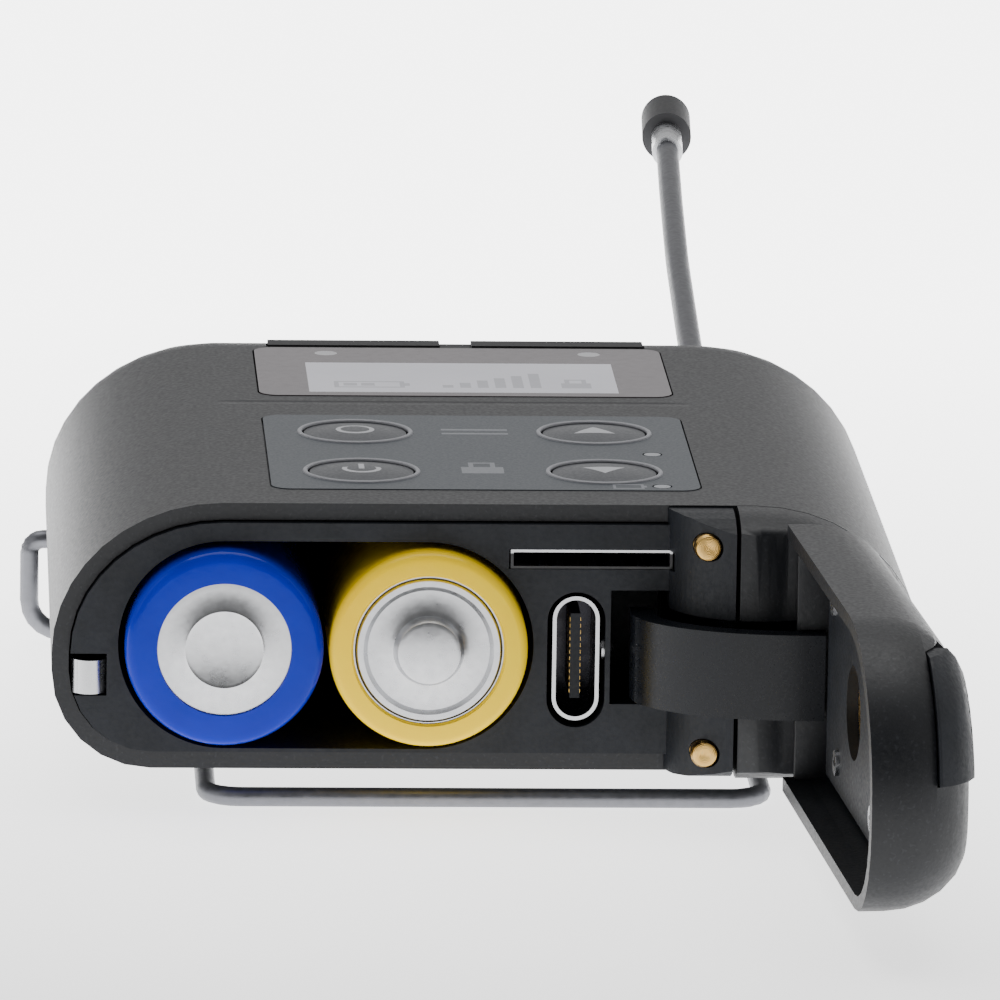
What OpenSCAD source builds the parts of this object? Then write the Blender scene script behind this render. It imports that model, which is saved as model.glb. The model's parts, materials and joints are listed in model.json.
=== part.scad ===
// Wireless bodypack transmitter, lying on its back with the battery lid swung open.
// X runs across the body, Y from the battery end to the antenna end, Z up from the back face.

/* [Body] */
// Width across the body
body_w = 61.4; // [52:0.1:75]
// Length of the housing, from the lid rim to the antenna end
body_l = 70; // [64:0.5:90]
// Thickness from back face to front face
body_t = 19.1; // [18:0.1:24]
// Wall of the housing
wall = 1.2; // [0.9:0.1:1.5]
// Plan radius of the two antenna-end corners
corner_r = 13; // [12.5:0.5:18]
// Width of the long curve that rolls the front face into the sides
roll_w = 12; // [8:0.5:12.4]
// Drop of that curve
roll_h = 10.8; // [6:0.1:11]
// Radius of the edges at the back face
back_r = 7; // [4:0.5:7]

/* [Battery bay] */
// Diameter of one cell
cell_d = 14; // [13.5:0.1:14.5]
// Length of a cell without its nub
cell_l = 49.2; // [44:0.1:56]
// Gap between a cell and its bay
cell_gap = 0.45; // [0.3:0.05:0.8]
// Distance between the two cell axes
cell_pitch = 14.35; // [14.3:0.05:16]
// How far the cells stand out of the rim
cell_out = 2.2; // [1:0.1:2.4]
// Left cell axis from the left side of the body
cell_side = 12.1; // [11:0.1:13]

/* [Lid] */
// Depth of the lid
lid_d = 7.2; // [6.6:0.1:9]
// Wall of the lid
lid_wall = 1; // [0.8:0.1:1.3]
// Round of the lid's outer edges
lid_round = 5.5; // [3:0.5:6]
// Thickness of the contact plate inside the lid
plate_t = 1.1; // [0.8:0.1:1.4]
// Angle the lid opens to
lid_open = 94; // [60:1:100]
// Height of the hinge arm
arm_h = 6.1; // [4:0.1:7]
// Thickness of the hinge arm
arm_t = 1.6; // [1.2:0.1:2]
// Diameter of the hinge pin
pin_d = 2; // [1.5:0.1:2.4]
// Travel of the latch slider
latch_travel = 2; // [1:0.1:2.5]

/* [Front face] */
// Width of the display window and of the keypad
panel_w = 30.4; // [26:0.2:32]
// Length of the display window
window_l = 18.4; // [14:0.5:20]
// Length of the keypad overlay
keypad_l = 26.6; // [22:0.1:28]
// Diameter of a key
key_d = 7.4; // [6:0.1:8]
// Travel of a key
key_travel = 0.35; // [0.2:0.05:0.4]

/* [Sockets] */
// Outer diameter of the microphone socket
mic_d = 9.5; // [8:0.1:11]
// How far the microphone socket stands out
mic_out = 3; // [2:0.1:5]
// Length of the antenna, from its nut to its tip
antenna_l = 119; // [80:1:150]
// Diameter of the antenna whip
whip_d = 1.9; // [1.4:0.1:2.6]

/* [Belt clip] */
// Wire diameter
wire_d = 1.4; // [1:0.1:1.8]
// Distance between the wire's two legs
clip_w = 39.4; // [30:0.2:44]
// Gap between the wire and the back face
clip_gap = 1.5; // [0.8:0.1:2]

/* [Hidden] */
$fn = 48;
half_w = body_w / 2;
half_t = body_t / 2;
slack = 0.12;                     // gap between pieces that are fitted together
run = 0.25;                       // gap between pieces that move past each other
pin_run = 0.04;                   // radial gap of a pin in its hole
rim_w = wall;                     // bare edge of the housing round the chassis
spigot = 0.6;                     // how far the chassis stands out of the rim
front_z = half_t;                 // the front face with keys and display

// cells and their bay
cell_r = cell_d / 2;
bay_r = cell_r + cell_gap;
cell_z = -0.52;
blue_x = -half_w + cell_side;
yellow_x = blue_x + cell_pitch;
bay_end = cell_l - cell_out + 3.2;
bay_left = blue_x - bay_r;
bay_right = yellow_x + bay_r;

// hinge: the lid turns about a pin inside the right-hand corner
hinge_x = half_w - 11.9;
hinge_y = 1.2;
nose_r = 6.4;                     // round of the corner about the hinge
nose_left = hinge_x - 1.4;        // seam between the moulded block and the housing's corner
lid_right = hinge_x - 7.6;        // hinge end of the closed lid
end_wall = 1;
arm_z = -0.97;                    // mid height of the hinge arm
arm_left = hinge_x - 8.8;
arm_b = 7.4;                      // half height and middle of the arm's curve, lid open
arm_cx = hinge_x + 2.95;
arm_cy = hinge_y - 2.4;
arm_tail = 1.45;                  // straight end of the arm, fixed to the lid's end wall
arm_reach = 10.6;                 // radius that the arm sweeps
slot_h = arm_h + 2 * run;
slot_low = arm_z - slot_h / 2;
slot_high = arm_z + slot_h / 2;
knuckle_r = 2.6;

// ports between the bay and the hinge
usb_x = bay_right + 3;
usb_z = -1.49;
usb_w = 8.94;
usb_t = 3.3;
usb_wall = 0.27;
usb_depth = 7.5;
pocket_left = hinge_x - 10.2;     // left wall of the hinge pocket
block_left = hinge_x - nose_r - 0.1;
card_w = 11.4;
card_left = 1.5;
card_z = 5.73;
card_h = 1.4;
card_depth = 14;
pin_x = hinge_x - 3.65;
pin_z = half_t - 2.15;
pin_r = 1;
pin_out = 0.54;                   // how far a spring pin stands out of its block
pin_l = 3.7;
pin_tip = hinge_y - sqrt(nose_r * nose_r - pow(hinge_x - pin_x, 2)) - pin_out;
catch_right = bay_left - 0.9;
catch_low = -4.1;
catch_high = -1.7;
barrel_x = usb_x + usb_t / 2 + 0.2;
barrel_l = pocket_left - barrel_x - 0.05;
detent_y = 1.2;
detent_r = 0.55;

// lid fittings
latch_low = 0.3;                  // height of the latch slider's two ends
latch_high = 7.9;
latch_in = 4.6;                   // depth of its inner face behind the rim plane
latch_x1 = -half_w + 9;
hook_x = -half_w + lid_wall + 1.8;
hook_w = 1.4;
plate_deep = cell_out + 0.4;      // depth of the contact plate in the lid
plate_in = lid_wall + 0.9;
plate_left = hook_x + hook_w + latch_travel + 0.4;
plate_right = lid_right - 3;
pad_r = 3.15;
lid_screw_at = [[lid_right - 6, 5.2], [lid_right - 8.6, -5.6], [blue_x + 4.3, -5.6], [blue_x + 4.3, 5.2]];
screw_head_r = 0.9;
groove_l = 7;                     // finger grooves in the lid's long edges
groove_r = 5;

// boards and front face
panel_deep = 0.35;                // thickness of the keypad overlay
glass_t = 0.8;
lcd_t = 1;
lcd_l = 12.6;
lcd_w = 25;
window_y = 38.9;
keypad_y = 4.9;
key_x = 8.65;
key_y = [11.1, 25.2];
key_top = front_z + 0.3;
key_low = front_z - wall + 0.35;
board_z = front_z - wall - 0.75;  // underside of the key board
board_t = 0.5;
led_d = 1.2;
led_at = [[9.85, 55.2], [-9.85, 55.2], [12.45, 17.65], [12.5, 6.3]];
main_z = -3;
main_t = 1;

// antenna end
rear_y = body_l;
antenna_x = 20;
mic_x = -17;
nut_af = 8;
nut_h = 2.2;
whip_r = whip_d / 2;
tip_l = 9;
ferrule_l = 7;
guard_w = 28.2;
guard_y = window_y + window_l + 0.6;
// course of the antenna: sideways and upward drift at shares of its length
whip_course = [[0, 0, 0], [0.15, 0.28, 0.32], [0.3, 0.7, 1], [0.5, 1.25, 2.38], [0.7, 2.15, 3.33],
               [0.85, 2.92, 3.82], [1, 3.8, 4.1]];

// belt clip: one wire, mirrored about the middle
wire_r = wire_d / 2;
pivot_y = 55;
pivot_z = -4.72;
pivot_in = 1.6;
clip_z = -half_t - clip_gap - wire_r;
bend = 2.4;
clip_out = half_w + 0.5 + wire_r;

// ---- shapes that are used more than once ----

// Side profile of the body from its middle out to the edge at x, shrunk by an inset.
function side(x, inset) = concat(
    [for (a = [-90 : 15 : 0]) [x - back_r + (back_r - inset) * cos(a),
                               -half_t + back_r + (back_r - inset) * sin(a)]],
    [for (a = [0 : 9 : 90]) [x - roll_w + (roll_w - inset) * cos(a),
                             half_t - roll_h + (roll_h - inset) * sin(a)]]);
// Whole cross-section, from the left edge to a chosen right end.
function mirrored(points) = [for (i = [len(points) - 1 : -1 : 0]) [-points[i][0], points[i][1]]];
function section(inset) = concat(side(half_w, inset), mirrored(side(half_w, inset)));
function section_to(x, inset) = concat(
    [[x, -half_t + inset], [x, half_t - inset]], mirrored(side(half_w, inset)));

module place() { translate([0, -body_l / 2, half_t]) children(); }

// A flat outline in X and Z, from y0 to y1.
module along_y(y0, y1) {
    translate([0, y1, 0]) rotate([90, 0, 0]) linear_extrude(y1 - y0) children();
}
module rod_y(x, z, r, y0, y1) {
    translate([x, y0, z]) rotate([-90, 0, 0]) cylinder(r = r, h = y1 - y0);
}
module rod_z(x, y, r, z0, z1) { translate([x, y, z0]) cylinder(r = r, h = z1 - z0); }
module block(x0, x1, y0, y1, z0, z1) { translate([x0, y0, z0]) cube([x1 - x0, y1 - y0, z1 - z0]); }
module pad(w, l, r) {
    union() {
        square([w - 2 * r, l], center = true);
        square([w, l - 2 * r], center = true);
        for (x = [-1, 1], y = [-1, 1]) translate([x * (w / 2 - r), y * (l / 2 - r)]) circle(r);
    }
}
module slab(x, y, w, l, r, z0, z1) {
    translate([x, y + l / 2, z0]) linear_extrude(z1 - z0) pad(w, l, r);
}

// The body's outer form, shrunk by an inset; it starts at y0.
module body_form(inset, y0) {
    hull() {
        along_y(y0, y0 + 0.2) polygon(section(inset));
        for (s = [-1, 1])
            translate([s * (half_w - corner_r), rear_y - corner_r, 0])
                rotate_extrude($fn = 64)
                    polygon(concat([[0, -half_t + inset]], side(corner_r, inset), [[0, half_t - inset]]));
    }
}
// Rounded front of the body, cut in two by the lid's end: the lid and the corner beside it.
module front_form(inset, round_in, deep, y_top) {
    steps = 6;
    hull() for (i = [0 : steps]) {
        a = 90 * i / steps;
        y = -deep + round_in * (1 - sin(a));
        along_y(y, i == 0 ? y_top : y + 0.02)
            polygon(section(inset + round_in * (1 - cos(a)) * 0.8));
    }
}
module round_corner() {
    union() {
        translate([hinge_x, hinge_y]) circle(nose_r);
        translate([hinge_x, hinge_y - nose_r + 0.3]) square([half_w, nose_r]);
    }
}
// Plan of the fixed corner between x0 and x1, below the plane y1.
module corner_plan(x0, x1, y1) {
    intersection() {
        round_corner();
        translate([x0, -20]) square([x1 - x0, 20 + y1]);
    }
}
module corner_form(x0, x1, y1, inset) {
    intersection() {
        translate([0, 0, -half_t - 1]) linear_extrude(body_t + 2) corner_plan(x0, x1, y1);
        front_form(inset, lid_round, lid_d, 0.5);
    }
}
module swing_space(z0, z1) {
    intersection() {
        rod_z(hinge_x, hinge_y, arm_reach, z0, z1);
        block(pocket_left, hinge_x + knuckle_r + 0.6, -20, 20, z0, z1);
    }
}
module lid_place() {
    translate([hinge_x, hinge_y, 0]) rotate([0, 0, lid_open]) translate([-hinge_x, -hinge_y, 0])
        children();
}

// ---- housing and what is fixed in it ----

module housing() {
    color("#2b2c30") place() difference() {
        union() {
            body_form(0, 0);
            corner_form(nose_left, half_w + 1, 0.45, 0.02);
        }
        difference() {
            body_form(wall, wall);
            block(nose_left, half_w, -1, 7, -half_t, half_t);
        }
        along_y(-1, wall + 1) polygon(section_to(nose_left + 0.3, rim_w));
        swing_space(slot_low, slot_high);
        rod_z(hinge_x, hinge_y, pin_d / 2 + pin_run, -half_t + 2.4, half_t - 2.4);
        slab(0, window_y - slack, panel_w + 2 * slack, window_l + 2 * slack, 1.5,
             front_z - glass_t - 0.05, front_z + 1);
        slab(0, window_y + 1.2 - slack, lcd_w + 2 * slack, lcd_l + 2 * slack, 0.6, 0, front_z);
        slab(0, keypad_y - slack, panel_w + 2 * slack, keypad_l + 2 * slack, 1.5,
             front_z - panel_deep, front_z + 1);
        for (s = [-1, 1], y = key_y) rod_z(s * key_x, y, key_d / 2 + run, 0, front_z + 1);
        for (p = led_at) rod_z(p[0], p[1], led_d / 2 + slack, 0, front_z + 1);
        rod_y(antenna_x, 0, 3.2, rear_y - 4, rear_y + 1);
        rod_y(mic_x, 0, mic_d / 2 - 1 + slack, rear_y - 4, rear_y + 1);
        block(-guard_w / 2 - slack, guard_w / 2 + slack, guard_y - slack, guard_y + 2 + slack,
              half_t - 3.2, half_t + 1);
        for (s = [-1, 1]) translate([s * half_w, pivot_y, pivot_z]) rotate([0, 90, 0])
            cylinder(r = wire_r + pin_run, h = 2 * (pivot_in + wall), center = true);
    }
}

module chassis() {
    inside = wall + slack;
    color("#26272b") place() difference() {
        union() {
            along_y(-spigot, bay_end + 1.4)
                polygon(section_to(bay_right + 1.6, inside));
            along_y(-spigot, card_depth + 2.5)
                polygon(section_to(nose_left - 0.3, inside));
            corner_form(block_left - 1, nose_left - 0.3, -0.05, 0.15);
        }
        // bay for the two cells
        for (x = [blue_x, yellow_x]) rod_y(x, cell_z, bay_r, -1, bay_end);
        block(blue_x, yellow_x, -1, bay_end, cell_z - bay_r, cell_z + bay_r);
        // room for the arm
        swing_space(slot_low, slot_high);
        block(pocket_left, block_left + 0.4, -5, 12, slot_low - 0.4, slot_high + 1.2);
        // ports
        rod_stadium(usb_x, usb_z, usb_t + 0.8, usb_w + 0.8, -1, usb_depth);
        rod_stadium(usb_x, usb_z, usb_t + 2 * slack, usb_w + 2 * slack, 0, usb_depth + 1);
        block(card_left - slack, card_left + card_w + slack, -5, card_depth,
              card_z - card_h / 2, card_z + card_h / 2);
        // key board and display lie over the bay
        block(-panel_w / 2 - 0.5, panel_w / 2 + 0.5, keypad_y - 0.6, 60, board_z - 0.15, half_t);
        // spring pins, detent and the catch of the latch
        for (s = [-1, 1]) rod_y(pin_x, s * pin_z, pin_r + pin_run, pin_tip - 2, 0.1);
        translate([barrel_x - slack, detent_y, arm_z]) rotate([0, 90, 0])
            cylinder(r = detent_r + 0.35 + slack, h = 3);
        block(-half_w, catch_right + slack, -1, 2.6, catch_low - slack, catch_high + 0.5);
    }
}
// A slot with round ends, tall in Z, cut along Y.
module rod_stadium(x, z, w, h, y0, y1) {
    union() {
        block(x - w / 2, x + w / 2, y0, y1, z - (h - w) / 2, z + (h - w) / 2);
        for (s = [-1, 1]) rod_y(x, z + s * (h - w) / 2, w / 2, y0, y1);
    }
}

module top_guard() {
    color("#1d1e20") place() difference() {
        block(-guard_w / 2, guard_w / 2, guard_y, guard_y + 2, half_t - 3.1, half_t + 0.12);
        block(-1.2, 1.2, guard_y - 1, guard_y + 2.1, half_t - 0.15, half_t + 1);
    }
}

module display_window() {
    color("#a59ea3") place()
        slab(0, window_y, panel_w, window_l, 1.4, front_z - glass_t, front_z + 0.05);
}
module lcd_module() {
    color("#c3c1c8") place()
        slab(0, window_y + 1.2, lcd_w, lcd_l, 0.5, front_z - glass_t - lcd_t, front_z - glass_t - 0.02);
}
module keypad_overlay() {
    color("#5a5c60") place() difference() {
        slab(0, keypad_y, panel_w, keypad_l, 1.4, front_z - panel_deep, front_z + 0.05);
        for (s = [-1, 1], y = key_y) rod_z(s * key_x, y, key_d / 2 + run, 0, front_z + 1);
        for (p = led_at) rod_z(p[0], p[1], led_d / 2 + slack, 0, front_z + 1);
    }
}
// A key: a short button with a low dome on it.
module key(x, y) {
    dome = key_top - front_z;
    ball = (key_d * key_d / 4 + dome * dome) / (2 * dome);
    color("#6a6b70") place() translate([x, y, 0]) union() {
        rod_z(0, 0, key_d / 2, key_low, front_z);
        intersection() {
            translate([0, 0, key_top - ball]) sphere(r = ball, $fn = 96);
            rod_z(0, 0, key_d / 2, front_z - 0.1, key_top + 1);
        }
    }
}
module key_lower_left() { key(-key_x, key_y[0]); }
module key_lower_right() { key(key_x, key_y[0]); }
module key_upper_left() { key(-key_x, key_y[1]); }
module key_upper_right() { key(key_x, key_y[1]); }

module dome_switches() {
    color("#c9c9cc") place() for (s = [-1, 1], y = key_y)
        rod_z(s * key_x, y, 2.5, board_z + board_t, key_low - key_travel - 0.05);
}
module key_board() {
    color("#1f5a3a") place() block(-panel_w / 2, panel_w / 2, keypad_y, window_y - 0.6,
                                   board_z, board_z + board_t);
}
module main_board() {
    color("#1f5a3a") place()
        block(bay_right + 2.2, half_w - wall - 1.6, card_depth + 3, rear_y - 10, main_z, main_z + main_t);
}
module radio_shield() {
    color("#b9bbbf") place()
        block(bay_right + 4, half_w - wall - 4, card_depth + 18, rear_y - 12, main_z + main_t,
              main_z + main_t + 2.4);
}
module light_pipes() {
    color("#d8dbe0") place() for (p = led_at)
        rod_z(p[0], p[1], led_d / 2, board_z + board_t + 0.02,
              p[1] > window_y ? front_z - glass_t - 0.02 : front_z + 0.05);
}
module usb_shell() {
    color("#c8c9cc") place() difference() {
        rod_stadium(usb_x, usb_z, usb_t, usb_w, -0.1, usb_depth);
        rod_stadium(usb_x, usb_z, usb_t - 2 * usb_wall, usb_w - 2 * usb_wall, -1, usb_depth - 0.8);
    }
}
module usb_tongue() {
    color("#1c1c1e") place()
        block(usb_x - 0.35, usb_x + 0.35, 0.8, usb_depth - 0.8, usb_z - 3.05, usb_z + 3.05);
}
module card_socket() {
    color("#b7b9bd") place() difference() {
        block(card_left, card_left + card_w, -spigot + 0.1, card_depth - slack,
              card_z - card_h / 2 + 0.02, card_z + card_h / 2 - 0.02);
        block(card_left + 0.2, card_left + card_w - 0.2, -1, card_depth - 0.6,
              card_z - card_h / 2 + 0.2, card_z + card_h / 2 - 0.2);
    }
}

// ---- cells and contacts ----

// A cell: a steel can with a turned rim, and a plastic wrap round it.
module cell_can(x, nub_out) {
    y0 = -cell_out;
    nub_y = nub_out ? y0 - 1 : y0 + cell_l;
    color("#c4c6ca") place() union() {
        rod_y(x, cell_z, cell_r - 0.25, y0 + 0.35, y0 + cell_l);
        rod_y(x, cell_z, 4.6, y0 - (nub_out ? 0.15 : 0.1), y0 + 0.4);
        rod_y(x, cell_z, 2.6, nub_y, nub_y + 1.2);
    }
}
module cell_wrap(x) {
    y0 = -cell_out;
    place() difference() {
        rod_y(x, cell_z, cell_r, y0, y0 + cell_l - 0.5);
        rod_y(x, cell_z, cell_r - 0.25, y0 + 0.35, y0 + cell_l);
        rod_y(x, cell_z, 5.2, y0 - 1, y0 + 1);
    }
}
module cell_blue_can() { cell_can(blue_x, false); }
module cell_blue_wrap() { color("#004bcd") cell_wrap(blue_x); }
module cell_yellow_can() { cell_can(yellow_x, true); }
module cell_yellow_wrap() { color("#ffcd19") cell_wrap(yellow_x); }

module cell_spring() {
    color("#d0b060") place() difference() {
        rod_y(yellow_x, cell_z, 3.4, cell_l - cell_out + 0.15, bay_end);
        rod_y(yellow_x, cell_z, 2.4, 0, bay_end - 0.4);
    }
}
module cell_contact_bar() {
    color("#d0b060") place()
        rod_y(blue_x, cell_z, 3.4, cell_l - cell_out + 1.35, bay_end);
}
module spring_pin(z) {
    color("#c8a050") place() rod_y(pin_x, z, pin_r, pin_tip, pin_tip + pin_l);
}
module spring_pin_upper() { spring_pin(pin_z); }
module spring_pin_lower() { spring_pin(-pin_z); }
// Bent strip that the latch snaps under.
module latch_catch() {
    left = -half_w + wall + 0.35;
    color("#b9bbbf") place() union() {
        block(left, catch_right, -0.75, -0.35, catch_low, catch_high);
        block(left, catch_right, -0.6, 2.4, catch_low, catch_low + 0.4);
    }
}
module detent_barrel() {
    color("#6f7174") place() translate([barrel_x, detent_y, arm_z]) rotate([0, 90, 0])
        difference() {
            cylinder(r = detent_r + 0.35, h = barrel_l);
            translate([0, 0, -1]) cylinder(r = detent_r + pin_run, h = 4);
        }
}
module detent_plunger() {
    color("#c0c2c5") place() translate([pocket_left + 0.35 - detent_r, detent_y, arm_z])
        rotate([0, -90, 0]) union() {
            cylinder(r = detent_r, h = 0.08);
            difference() {
                sphere(r = detent_r);
                cylinder(r = 1, h = 1);
            }
        }
}
module hinge_pin() {
    color("#a9abae") place()
        rod_z(hinge_x, hinge_y, pin_d / 2, -half_t + 2.5, half_t - 2.5);
}

// ---- lid, modelled closed and then swung open ----

module lid_shell() {
    color("#2b2c30") place() lid_place() difference() {
        front_form(0, lid_round, lid_d, 0);
        difference() {
            front_form(lid_wall, lid_round - lid_wall, lid_d - lid_wall, 0.5);
            difference() {
                block(lid_right - end_wall, half_w, -20, -spigot - 0.15, -half_t, half_t);
                // recess that takes the end of the hinge arm
                block(lid_right - end_wall - 1, lid_right - 0.58, arm_tail - 4.3, 1,
                      arm_z - arm_h / 2 - slack, arm_z + arm_h / 2 + slack);
            }
        }
        block(lid_right, half_w + 1, -20, 5, -half_t - 1, half_t + 1);
        // seat of the latch slider in the free end
        block(-half_w - 1, latch_x1 + slack + latch_travel, -lid_d - 1, -latch_in + slack,
              latch_low - slack, latch_high + slack);
        // finger grooves in the front and back edges
        for (s = [-1, 1]) translate([lid_right - 21, -lid_d + 0.6, s * (half_t + groove_r - 0.6)])
            rotate([0, 90, 0]) cylinder(r = groove_r, h = groove_l);
    }
}
module latch_slider() {
    color("#232428") place() lid_place() difference() {
        union() {
            intersection() {
                front_form(-0.35, lid_round, lid_d + 0.35, 0);
                block(-half_w - 1, latch_x1, -lid_d - 1, -latch_in, latch_low, latch_high);
            }
            block(hook_x, hook_x + hook_w, -latch_in - 0.6, -latch_in + 0.1, catch_low + 0.3, latch_low + 1);
            block(hook_x, hook_x + hook_w, -latch_in - 0.3, -1.1, catch_low + 0.3, catch_high);
        }
        for (i = [0 : 3]) block(latch_x1 - 1.6 - i * 1.1, latch_x1 - 1.2 - i * 1.1, -lid_d - 1,
                                -lid_d - 0.05, latch_low + 0.6, latch_high - 2);
    }
}
// Curved arm of the hinge with the web and knuckle that turn on the pin; modelled open.
module lid_arm() {
    reach = arm_cx - arm_left;
    tail = arm_cx + arm_tail;
    outer = [for (a = [180 : 6 : 270]) [arm_cx + reach * cos(a), arm_cy + arm_b * sin(a)]];
    inner = [for (a = [270 : -6 : 180])
        [arm_cx + (reach - arm_t) * cos(a), arm_cy + (arm_b - arm_t) * sin(a)]];
    color("#2b2c30") place() difference() {
        union() {
            translate([0, 0, arm_z - arm_h / 2]) linear_extrude(arm_h)
                polygon(concat([[arm_left, 0.6]], outer, [[tail, arm_cy - arm_b]],
                               [[tail, arm_cy - arm_b + arm_t]], inner, [[arm_left + arm_t, 0.6]]));
            translate([0, 0, arm_z - 1]) linear_extrude(2)
                polygon([[hinge_x, hinge_y + 1.5], [hinge_x + 1.5, hinge_y],
                         [arm_cx, arm_cy - arm_b + 0.6], [arm_cx - 5, arm_cy - arm_b + 1.6],
                         [arm_cx - 8, arm_cy - arm_b + 3.2]]);
            rod_z(hinge_x, hinge_y, knuckle_r, arm_z - arm_h / 2, arm_z + arm_h / 2);
        }
        rod_z(hinge_x, hinge_y, pin_d / 2 + pin_run, -half_t, half_t);
    }
}
module lid_plate() {
    color("#3a3c40") place() lid_place() difference() {
        along_y(-plate_deep - plate_t, -plate_deep) intersection() {
            polygon(section_to(plate_right, plate_in));
            translate([plate_left, -half_t]) square([100, body_t]);
        }
        for (x = [blue_x, yellow_x]) rod_y(x, cell_z, pad_r + slack, -20, 0);
        for (p = lid_screw_at) rod_y(p[0], p[1], 0.6, -20, 0);
    }
}
module lid_contacts() {
    pad_y = -plate_deep - plate_t;
    color("#b08a55") place() lid_place() union() {
        for (x = [blue_x, yellow_x]) rod_y(x, cell_z, pad_r, pad_y - 0.2, pad_y + 0.3);
        block(blue_x, yellow_x, pad_y - 0.2, pad_y, cell_z - 1.5, cell_z + 1.5);
    }
}
module lid_screws() {
    color("#c4c6ca") place() lid_place() for (p = lid_screw_at) union() {
        rod_y(p[0], p[1], screw_head_r, -plate_deep, -plate_deep + 0.25);
        rod_y(p[0], p[1], 0.55, -plate_deep - plate_t, -plate_deep + 0.1);
    }
}

// ---- belt clip, antenna and microphone socket ----

function unit(v) = v / norm(v);
function ring(p, t, r, n) = let (u = unit(cross(t, [0.31, 0.52, 0.8])), v = cross(unit(t), u))
    [for (i = [0 : n - 1]) p + r * (cos(360 * i / n) * u + sin(360 * i / n) * v)];
// A round bar along a row of points.
module bar(points, r, n) {
    last = len(points) - 1;
    rings = [for (i = [0 : last]) ring(points[i],
        points[min(i + 1, last)] - points[max(i - 1, 0)], r, n)];
    verts = [for (one = rings) for (p = one) p];
    sides = [for (i = [0 : last - 1], j = [0 : n - 1])
        [i * n + j, i * n + (j + 1) % n, (i + 1) * n + (j + 1) % n, (i + 1) * n + j]];
    polyhedron(verts, concat(sides, [[for (j = [n - 1 : -1 : 0]) j]], [[for (j = [0 : n - 1]) last * n + j]]),
               convexity = 6);
}
// Points of a round bend at a corner, between the directions from which it is entered and left.
function corner(p, from, to, r) = let (a = p - r * from, b = p + r * to, c = p - r * from + r * to)
    [for (k = [0 : 18 : 90]) c - r * to * cos(k) + r * from * sin(k)];
module wire_clip() {
    leg = clip_w / 2;
    lift = [0, 0, 1];
    // from the pivot on the right side, down, in under the back, along the leg and across
    half_route = concat(
        [[half_w - pivot_in, pivot_y, pivot_z], [half_w - 1, pivot_y, pivot_z]],
        corner([clip_out, pivot_y, pivot_z], [1, 0, 0], -lift, 1),
        corner([clip_out, pivot_y, clip_z], -lift, [-1, 0, 0], bend),
        corner([leg, pivot_y, clip_z], [-1, 0, 0], [0, -1, 0], bend),
        corner([leg, 0.6, clip_z], [0, -1, 0], [-1, 0, 0], bend));
    route = concat(half_route, [for (i = [len(half_route) - 1 : -1 : 0])
        [-half_route[i][0], half_route[i][1], half_route[i][2]]]);
    color("#8c8e94") place() bar(route, wire_r, 12);
}

function whip_at(share) = [antenna_x + lookup(share, [for (p = whip_course) [p[0], p[1]]]),
                           rear_y + nut_h + share * antenna_l,
                           lookup(share, [for (p = whip_course) [p[0], p[2]]])];
whip_share = (antenna_l - tip_l - ferrule_l) / antenna_l;
tip_turn = atan2(whip_course[6][1] - whip_course[5][1], 0.15 * antenna_l);
tip_rise = atan2(whip_course[6][2] - whip_course[5][2], 0.15 * antenna_l);
module at_whip(share) {
    translate(whip_at(share)) rotate([tip_rise, 0, -tip_turn]) rotate([-90, 0, 0]) children();
}
module antenna_nut() {
    color("#3a3b3e") place() union() {
        rod_y(antenna_x, 0, 3.1, rear_y - 4, rear_y);
        translate([antenna_x, rear_y, 0]) rotate([-90, 0, 0]) cylinder(r = nut_af / 2, h = nut_h);
    }
}
module antenna_whip() {
    color("#5d5f66") place()
        bar([for (i = [0 : 20]) whip_at(whip_share * i / 20)], whip_r, 12);
}
module antenna_ferrule() {
    color("#c4c6ca") place() at_whip(whip_share) cylinder(r = whip_r + 0.35, h = ferrule_l);
}
module antenna_tip() {
    color("#4c4e52") place() at_whip(whip_share) translate([0, 0, ferrule_l]) union() {
        cylinder(r = 2.1, h = tip_l - 0.6);
        cylinder(r = 1.6, h = tip_l);
    }
}

module mic_shell() {
    color("#9b9da1") place() difference() {
        rod_y(mic_x, 0, mic_d / 2 - 1, rear_y - 9, rear_y + mic_out);
        rod_y(mic_x, 0, mic_d / 2 - 1.8, rear_y - 7, rear_y + mic_out + 1);
    }
}
module mic_nut() {
    color("#9b9da1") place() difference() {
        rod_y(mic_x, 0, mic_d / 2, rear_y, rear_y + mic_out - 0.4);
        rod_y(mic_x, 0, mic_d / 2 - 1, rear_y - 1, rear_y + mic_out + 1);
    }
}
module mic_insert() {
    color("#1c1c1e") place() difference() {
        rod_y(mic_x, 0, mic_d / 2 - 1.8, rear_y - 7, rear_y - 3);
        for (a = [0 : 120 : 240]) rod_y(mic_x + 1.3 * cos(a), 1.3 * sin(a), 0.35, rear_y - 8, rear_y);
    }
}
module mic_pins() {
    color("#d0b060") place() for (a = [0 : 120 : 240])
        rod_y(mic_x + 1.3 * cos(a), 1.3 * sin(a), 0.35, rear_y - 7, rear_y + 0.5);
}

housing();
chassis();
top_guard();
display_window();
lcd_module();
keypad_overlay();
key_upper_left();
key_upper_right();
key_lower_left();
key_lower_right();
dome_switches();
key_board();
main_board();
radio_shield();
light_pipes();
usb_shell();
usb_tongue();
card_socket();
cell_blue_can();
cell_blue_wrap();
cell_yellow_can();
cell_yellow_wrap();
cell_spring();
cell_contact_bar();
spring_pin_upper();
spring_pin_lower();
latch_catch();
detent_barrel();
detent_plunger();
hinge_pin();
lid_shell();
lid_arm();
lid_plate();
lid_contacts();
lid_screws();
latch_slider();
wire_clip();
antenna_nut();
antenna_whip();
antenna_ferrule();
antenna_tip();
mic_shell();
mic_nut();
mic_insert();
mic_pins();
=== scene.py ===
"""Wireless bodypack transmitter, lying on its belt clip with the battery lid swung open."""
import json
import math
import bmesh
import bpy
from mathutils import Matrix, Vector


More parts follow.
